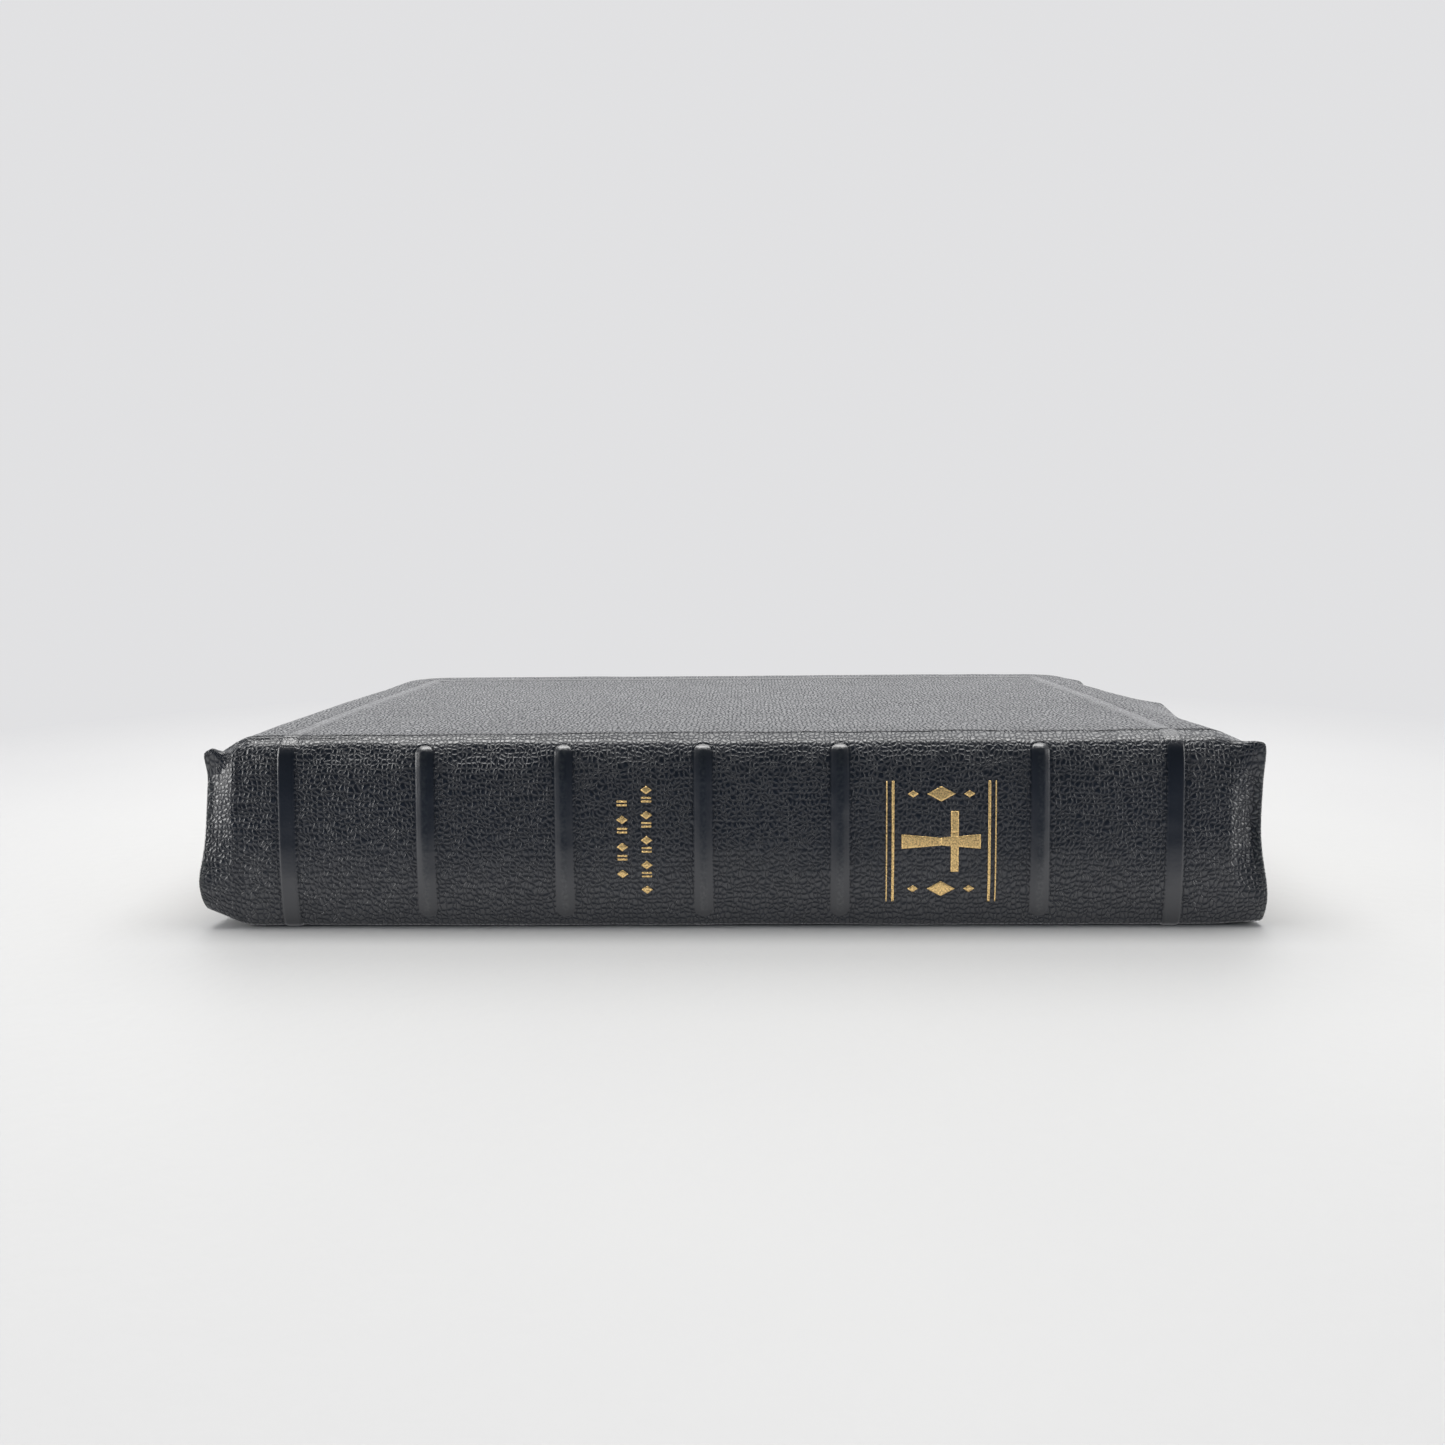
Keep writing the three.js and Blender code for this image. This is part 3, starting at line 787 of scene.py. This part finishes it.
def level_bar(p, v, wide, tall, flare=0.0):
    """A bar along the spine that widens towards its ends by flare on each side."""
    patches = []
    for way in (-1, 1):
        tip, half = p + way * wide / 2, tall / 2
        corners = [(p, v - half), (tip, v - half - flare), (tip, v + half + flare), (p, v + half)]
        patches.append(corners[::way])
    return patches


def upright_bar(p, v, wide, tall):
    """A bar across the spine, parted where the spine's two halves meet if it crosses that line."""
    ends = [v - tall / 2, v + tall / 2]
    if ends[0] < 0 < ends[1]:
        ends.insert(1, 0.0)
    left, right = p - wide / 2, p + wide / 2
    return [[(left, a), (right, a), (right, b), (left, b)] for a, b in zip(ends, ends[1:])]


def lozenge(p, v, wide, tall):
    return [[(p - wide / 2, v), (p, v - tall / 2), (p + wide / 2, v), (p, v + tall / 2)]]


def add_gold():
    """A plain cross between lozenges and rules, and two smaller rows of lozenges and bars."""
    patches = []
    middle, centre = -2.0, 47.2
    for side in (-1, 1):
        patches += upright_bar(centre + side * 10.6, middle, 0.55, 27.0)
        patches += upright_bar(centre + side * 12.0, middle, 0.25, 27.0)
    patches += level_bar(centre, middle, 17.4, 1.7, 0.75)
    patches += upright_bar(centre + 3.0, middle, 1.7, 11.4)
    for side in (-1, 1):
        patches += upright_bar(centre + 3.0, middle + side * 5.9, 1.7, 1.8)
        for p, wide, tall in ((0.0, 6.2, 3.4), (6.2, 2.4, 1.6), (-6.2, 2.4, 1.6)):
            patches += lozenge(centre + p, middle + side * 10.6, wide, tall)
    for p, reach, count in ((-17.9, 11.2, 9), (-23.3, 7.6, 6)):
        for i, v in enumerate(np.linspace(-reach, reach, count)):
            if i % 2 == 0:
                patches += lozenge(p, v - 1.5, 2.5, 1.9)
            else:
                patches += level_bar(p, v - 1.25, 2.2, 0.42)
                patches += level_bar(p, v - 0.45, 2.2, 0.42)
    for half, body, lower in HALVES:
        own = [c for c in patches if (np.mean([v for _, v in c]) < 0) == lower]
        foils = [foil_patch(corners) for corners in own]
        points, faces = join([foil[:2] for foil in foils])
        flats = np.vstack([foil[2] for foil in foils])
        made = mesh_object(f"gold_{half}", points, faces, GOLD, flats)
        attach(made, body)
        squash_at_opening(made)


# ---- Pages ----
def page_outline(near, far, corner=PAGE_CORNER, steps=10):
    """The outline of a page: two points at the fold, then round the two fore-edge corners."""
    points = [(-PAGE_HALF, near), (PAGE_HALF, near)]
    for x, start in ((PAGE_HALF - corner, 0), (corner - PAGE_HALF, math.pi / 2)):
        for i in range(steps + 1):
            angle = start + math.pi / 2 * i / steps
            points.append((x + corner * math.cos(angle), far - corner + corner * math.sin(angle)))
    return points


def slab(low, high, levels, fold_round):
    """A stack of pages between two corners of a CAD node's box, with a rounded fold."""
    points, faces, rings = [], [], []
    for level in levels:
        inset = fold_round * (1 - math.sqrt(max(0, 1 - (2 * level - 1) ** 2)))
        ring = []
        for i, (x, y) in enumerate(page_outline(low[1], high[1])):
            ring.append(len(points))
            points.append((x, y + (inset if i < 2 else 0), low[2] + (high[2] - low[2]) * level))
        rings.append(ring)
    count = len(rings[0])
    for a, b in zip(rings, rings[1:]):
        for i in range(count):
            j = (i + 1) % count
            faces.append((a[i], a[j], b[j], b[i]))
    return points, faces, rings[0][::-1], rings[-1]


def add_pages(name, body, nodes, single=False):
    points, faces = [], []
    for node in nodes:
        low, high = (np.array(c) * 1000 - (0, Y_OFFSET, 0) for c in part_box(node))
        levels = (0, 1) if single else (0, 0.12, 0.5, 0.88, 1)
        pts, quads, bottom, top = slab(low, high, levels, 0.0 if single else 0.4)
        start = len(points)
        points += pts
        faces += [tuple(i + start for i in f) for f in quads + [tuple(bottom), tuple(top)]]
    mesh = mesh_object(name, points, faces, LEAF_PAPER if single else PAPER)
    mesh.data.polygons.foreach_set("use_smooth", [False] * len(mesh.data.polygons))
    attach(mesh, body)
    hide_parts(*nodes)
    return mesh


def add_page_blocks():
    for body, nodes in frame["record"]["behaviour"]["bodies"].items():
        sections = [n for n in nodes if n.startswith("section_")]
        leaves = [n for n in nodes if n.startswith("leaf_")]
        if sections:
            add_pages(f"{body}_sections", body, sections)
        if leaves:
            add_pages(f"{body}_single_leaves", body, leaves, single=True)


def panel(p, y, far, corner, half):
    """Plan position on a sheet with rounded fore-edge corners."""
    a = np.maximum(np.abs(p) - (half - corner), 0)
    b = np.maximum(y - (far - corner), 0)
    r = np.maximum(np.maximum(a, b), 1e-6)
    angle = np.where(a >= b, math.pi / 4 * b / r, math.pi / 2 - math.pi / 4 * a / r)
    x = np.sign(p) * (np.minimum(np.abs(p), half - corner) + np.maximum(a, b) * np.cos(angle))
    return x, np.minimum(y, far - corner) + np.maximum(a, b) * np.sin(angle)


def sheet_grid(near, far, half, corner, low, high, lower):
    """Two matching grids for a thin sheet, finely divided where it bends at the joint.

    low and high are the heights of the lower sheet of the two. The upper one lies as far from the top.
    """
    bent, start, side = JOINT_END + 1, far - corner, half - corner
    ys = stations([(near, bent, 0.4), (bent, start, 6.0), (start, far, 0.9)])
    ps = stations([(-half, -side, 0.9), (-side, side, 6.0), (side, half, 0.9)])
    p, y = np.meshgrid(ps, ys)
    x, y2 = panel(p, y, far, corner, half)
    levels = (low, high) if lower else (THICKNESS - high, THICKNESS - low)
    top = np.stack([x, y2, np.full_like(x, levels[1])], -1)
    bottom = np.stack([x, y2, np.full_like(x, levels[0])], -1)
    return top, bottom, np.stack([p.ravel(), y.ravel()], -1)


def add_lining(side, material):
    low, high = (c.z * 1000 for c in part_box("front_cover_lining"))
    inset = 0.75
    size = (FORE_EDGE - inset, FOLD_X - inset, COVER_CORNER - inset)
    top, bottom, flat = sheet_grid(-0.4, *size, low, high, side == "front")
    points, faces, source = shell(top, bottom, (0, 1, 1, 1), 1)
    plain = np.ones(len(points))
    marks = {"burnish": 0.15 * plain, "wear": 0 * plain, "level": plain}
    made = mesh_object(f"{side}_lining_sheet", points, faces, material, flat[source], marks)
    across_joint(made)
    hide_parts(f"{side}_cover_lining")


def add_flyleaf(side):
    near = 0.1
    low, high = (c * 1000 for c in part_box("front_flyleaf"))
    size = (high.y - Y_OFFSET, PAGE_HALF, PAGE_CORNER)
    top, bottom, _ = sheet_grid(near, *size, low.z, high.z, side == "front")
    points, faces, _ = shell(top, bottom, (0, 0, 0, 0), 1)
    made = mesh_object(f"{side}_flyleaf_sheet", points, faces, FLYLEAF_PAPER)
    across_joint(made)
    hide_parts(f"{side}_flyleaf")


def add_endpapers():
    tones = (0.0085, 0.0085, 0.0095), (0.0165, 0.0165, 0.0175)
    material = leather_material("smooth_black_lining", *tones, 0.7, 0.05, 0.5)
    for side in ("front", "back"):
        add_lining(side, material)
        add_flyleaf(side)


# ---- Inside the spine ----
def half_strip(near, thick, x_low, x_high, lower, end):
    """Half of a strip that follows the rounded spine, up to or from its middle."""
    z = np.linspace(end, MIDDLE, 14) if lower else np.linspace(MIDDLE, THICKNESS - end, 14)
    xx, zz = np.meshgrid((x_low, x_high), z)
    outer = np.stack([xx, spine_curve(zz) - near - thick, zz], -1)
    inner = np.stack([xx, spine_curve(zz) - near, zz], -1)
    return shell(outer, inner, (0, 0, 0, 0), 1)[:2]


def add_strips(name, node_names, material, near, thick, spans, end):
    for half, body, lower in HALVES:
        points, faces = join([half_strip(near, thick, low, high, lower, end) for low, high in spans])
        made = mesh_object(f"{name}_{half}", points, faces, material)
        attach(made, body)
        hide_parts(*node_names)
        squash_at_opening(made)


def add_spine_linings():
    """From the sections outwards: mull, paper liner, stiff inlay and the cores of the raised bands."""
    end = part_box("spine_inlay")[0].z * 1000
    for name, node, material, slot, near, thick, reach in (
        ("mull", "spine_mull", MULL, "mull", 0.1, 0.3, PAGE_HALF - 6),
        ("spine_liner", "spine_liner", LINER, "board", 0.45, 0.3, PAGE_HALF - 1),
        ("spine_inlay", "spine_inlay", BOARD, "board", 0.8, 0.6, FOLD_X - 0.5),
    ):
        add_strips(name, [node], material, near, thick, [(-reach, reach)], end)
    cores = [(c - 0.9, c + 0.9) for c in RIB_CENTRES]
    names = [f"raised_band_{i + 1}" for i in range(len(RIB_CENTRES))]
    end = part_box(names[0])[0].z * 1000
    add_strips("raised_band_cores", names, BOARD, 1.45, 0.7, cores, end)


def silk_bead(side, low, high, radius=0.96, turns=14):
    """A bead along the end of the spine from one height to another, with a ripple for each thread."""
    z = np.linspace(low, high, 28)
    turn = np.linspace(0, math.tau, turns + 1)[:-1]
    zz, tt = np.meshgrid(z, turn, indexing="ij")
    radius = radius * (1 + 0.05 * np.sin(zz * math.tau / 0.85))
    x = side * (PAGE_HALF + 1.05) + radius * np.cos(tt)
    y = spine_curve(zz) + 1.0 - radius * np.sin(tt) * side
    points = np.stack([x, y, zz], -1).reshape(-1, 3)
    faces = []
    for a in range(0, len(points) - turns, turns):
        for j in range(turns):
            k = (j + 1) % turns
            faces.append((a + j, a + k, a + turns + k, a + turns + j))
    faces.append(tuple(reversed(range(turns))))
    faces.append(tuple(range(len(points) - turns, len(points))))
    return points, faces


def add_endbands():
    """A wound silk bead along the end of the spine, at the head and at the tail."""
    for node, side in (("headband", 1), ("tailband", -1)):
        low, high = (c.z * 1000 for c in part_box(node))
        for half, body, lower in HALVES:
            ends = (low, MIDDLE) if lower else (MIDDLE, high)
            points, faces = silk_bead(side, *ends)
            made = mesh_object(f"{node}_{half}", points, faces, SILK)
            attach(made, body)
            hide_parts(node)


def add_gutter():
    """The folded sheet that joins the two middle leaves."""
    steps, turn, gap, reach, fold = 12, 7, 0.06, 14, -2.86
    leg = np.linspace(reach, 0, steps)
    low, high = np.full(steps, MIDDLE - gap), np.full(steps, MIDDLE + gap)
    z = np.concatenate([low, np.linspace(MIDDLE - gap, MIDDLE + gap, turn + 2)[1:-1], high])
    y = np.concatenate([leg, np.zeros(turn), leg[::-1]]) + fold
    yy, xx = np.meshgrid(y, np.linspace(-PAGE_HALF, PAGE_HALF, 3), indexing="ij")
    mid = np.stack([xx, yy, np.broadcast_to(z[:, None], xx.shape)], -1)
    normal = np.zeros_like(mid)
    normal[:steps, :, 2] = -1
    normal[steps:-steps, :, 1] = -1
    normal[-steps:, :, 2] = 1
    points, faces, _ = shell(mid - normal * 0.03, mid + normal * 0.03, (0, 0, 0, 0), 1)
    made = mesh_object("middle_fold_sheet", points, faces, FLYLEAF_PAPER)
    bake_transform(made)


def paint_boards():
    """The boards keep their CAD shape and get the grey board's material."""
    for node in ("front_cover_board", "back_cover_board"):
        made = frame["nodes"][node]
        made.data.materials.clear()
        made.data.materials.append(BOARD)


# ---- Floor, light and camera ----
BACKDROP = (0.985, 0.985, 1.0)
BACKDROP_SEEN, BACKDROP_LIGHT = 0.765, 1.30  # how bright it looks, and how strongly it lights the book
# Painted light: glows that the floor shows only to rays other than the camera's, dim far in front of the
# book and bright like a lit table close to it.
PAINTED_FAR_GLOW = (0.09, 0.15, 0.28)  # the far floor in front of the book
DIM_AIR = (0.09, 0.115, 0.155)  # and what is above it
PAINTED_TABLE_GLOW = (1.5, 1.5, 1.55)
CAMERA_TURN = (-1.32, 7.96, -0.51)  # yaw, pitch down and roll, in degrees
CAMERA_PLACE = (-244.0, 79.7, 4.7)  # Y, Z and X


def add_floor():
    """A pale floor that takes the backdrop's tone with distance, so that they meet without a line."""
    n = Nodes("pale_floor")
    place = n.add("ShaderNodeTexCoord").outputs["Object"]
    tone = n.mix(n.noise(place, 9.0, 3.0), (0.32, 0.32, 0.32), (0.343, 0.343, 0.34))
    n.finish(Base_Color=tone, Roughness=0.6, Normal=n.bump(n.noise(place, 260.0, 2.0), 0.1))
    distance = n.add("ShaderNodeVectorMath", {0: place}, operation="LENGTH").outputs["Value"]
    seen = n.add("ShaderNodeLightPath").outputs["Is Camera Ray"]
    y = n.split(place)["Y"]
    away = n.math("MULTIPLY", n.stretch(distance, 0.17, 0.45), seen)
    away = n.math("MAXIMUM", away, n.stretch(y, 0.35, 1.8))
    glow = n.add("ShaderNodeEmission", {"Color": (*BACKDROP, 1), "Strength": BACKDROP_SEEN}).outputs[0]
    far = n.add("ShaderNodeMixShader", {0: away, 1: n.shader.outputs[0], 2: glow}).outputs[0]
    # Painted light: for every ray but the camera's, the floor in front of the book glows, bright close by
    # like a lit table and dim further out like a room, and the book reflects that glow.
    table = n.mix(n.stretch(y, -0.245, -0.11), PAINTED_FAR_GLOW, PAINTED_TABLE_GLOW)
    painted_reflection_glow = n.add("ShaderNodeEmission", {"Color": table}).outputs[0]
    ahead = n.math("MULTIPLY", n.stretch(y, -0.06, -0.10), n.math("SUBTRACT", 1.0, seen))
    far = n.add("ShaderNodeMixShader", {0: ahead, 1: far, 2: painted_reflection_glow}).outputs[0]
    # The floor can be looked through from below.
    behind = n.add("ShaderNodeNewGeometry").outputs["Backfacing"]
    clear = n.add("ShaderNodeBsdfTransparent").outputs[0]
    both = n.add("ShaderNodeMixShader", {0: behind, 1: far, 2: clear})
    n.put(n.tree.nodes["Material Output"].inputs["Surface"], both.outputs[0])
    ring = [(9000 * math.cos(a), 9000 * math.sin(a), -0.02) for a in np.linspace(0, math.tau, 65)[:-1]]
    floor = mesh_object("floor", ring, [tuple(range(64))], n.material)


def add_light(name, place, target, size, power, colour=(1, 0.99, 0.975)):
    data = bpy.data.lights.new(name, "AREA")
    data.shape, data.size, data.size_y = "RECTANGLE", size[0], size[1]
    data.energy, data.color = power, colour
    made = bpy.data.objects.new(name, data)
    made.location = place
    made.rotation_euler = (Vector(target) - Vector(place)).to_track_quat("-Z", "Y").to_euler()
    made.visible_camera = False
    bpy.context.scene.collection.objects.link(made)


def add_world():
    """A pale backdrop. What lights the book is bright above and behind it, and dim in front of it."""
    n = Nodes.for_world("studio")
    inputs = {0: n.add("ShaderNodeTexCoord").outputs["Generated"], 1: (-0.05, 0.85, 0.30)}
    lit_from = n.add("ShaderNodeVectorMath", inputs, operation="DOT_PRODUCT").outputs["Value"]
    bright = tuple(BACKDROP_LIGHT * c for c in BACKDROP)
    around = n.mix(n.stretch(lit_from, -0.45, 0.75), DIM_AIR, bright)
    seen = n.add("ShaderNodeLightPath").outputs["Is Camera Ray"]
    n.put(n.shader.inputs["Color"], n.mix(seen, around, tuple(BACKDROP_SEEN * c for c in BACKDROP)))


def add_camera():
    """Low in front of the spine, at the middle of its length, and looking slightly down."""
    yaw, pitch, roll = (math.radians(a) for a in CAMERA_TURN)
    right = np.array([math.cos(yaw), -math.sin(yaw), 0])
    ahead = np.array([math.sin(yaw), math.cos(yaw), 0])
    up = np.array([0, 0, 1.0])
    forward = ahead * math.cos(pitch) - up * math.sin(pitch)
    up = up * math.cos(pitch) + ahead * math.sin(pitch)
    level, upright = right, up
    right = level * math.cos(roll) + upright * math.sin(roll)
    up = upright * math.cos(roll) - level * math.sin(roll)
    data = bpy.data.cameras.new("camera")
    data.sensor_width, data.lens = 36.0, 27.54
    data.clip_start = 0.01
    camera = bpy.data.objects.new("camera", data)
    turn = Matrix([right, up, -forward]).transposed().to_4x4()
    camera.matrix_world = Matrix.Translation(row(*CAMERA_PLACE)) @ turn
    bpy.context.scene.collection.objects.link(camera)
    bpy.context.scene.camera = camera


add_camera()
add_leather()
add_gold()
add_page_blocks()
add_endpapers()
add_spine_linings()
add_endbands()
add_gutter()
paint_boards()
add_floor()
add_light("softbox", (0.0, 0.62, 0.85), (0, 0, 0), (1.3, 0.5), 4.5)
add_light("overhead", (0.0, 0.08, 0.95), (0, 0, 0), (1.2, 0.36), 15.0)
add_light("left_panel", (-1.0, -0.10, 0.22), (-0.1, 0, 0.02), (0.6, 0.42), 6.5)
add_light("right_panel", (1.0, -0.08, 0.22), (0.1, 0, 0.02), (0.6, 0.42), 4.0)
add_world()
bpy.context.scene.view_settings.view_transform = "Standard"
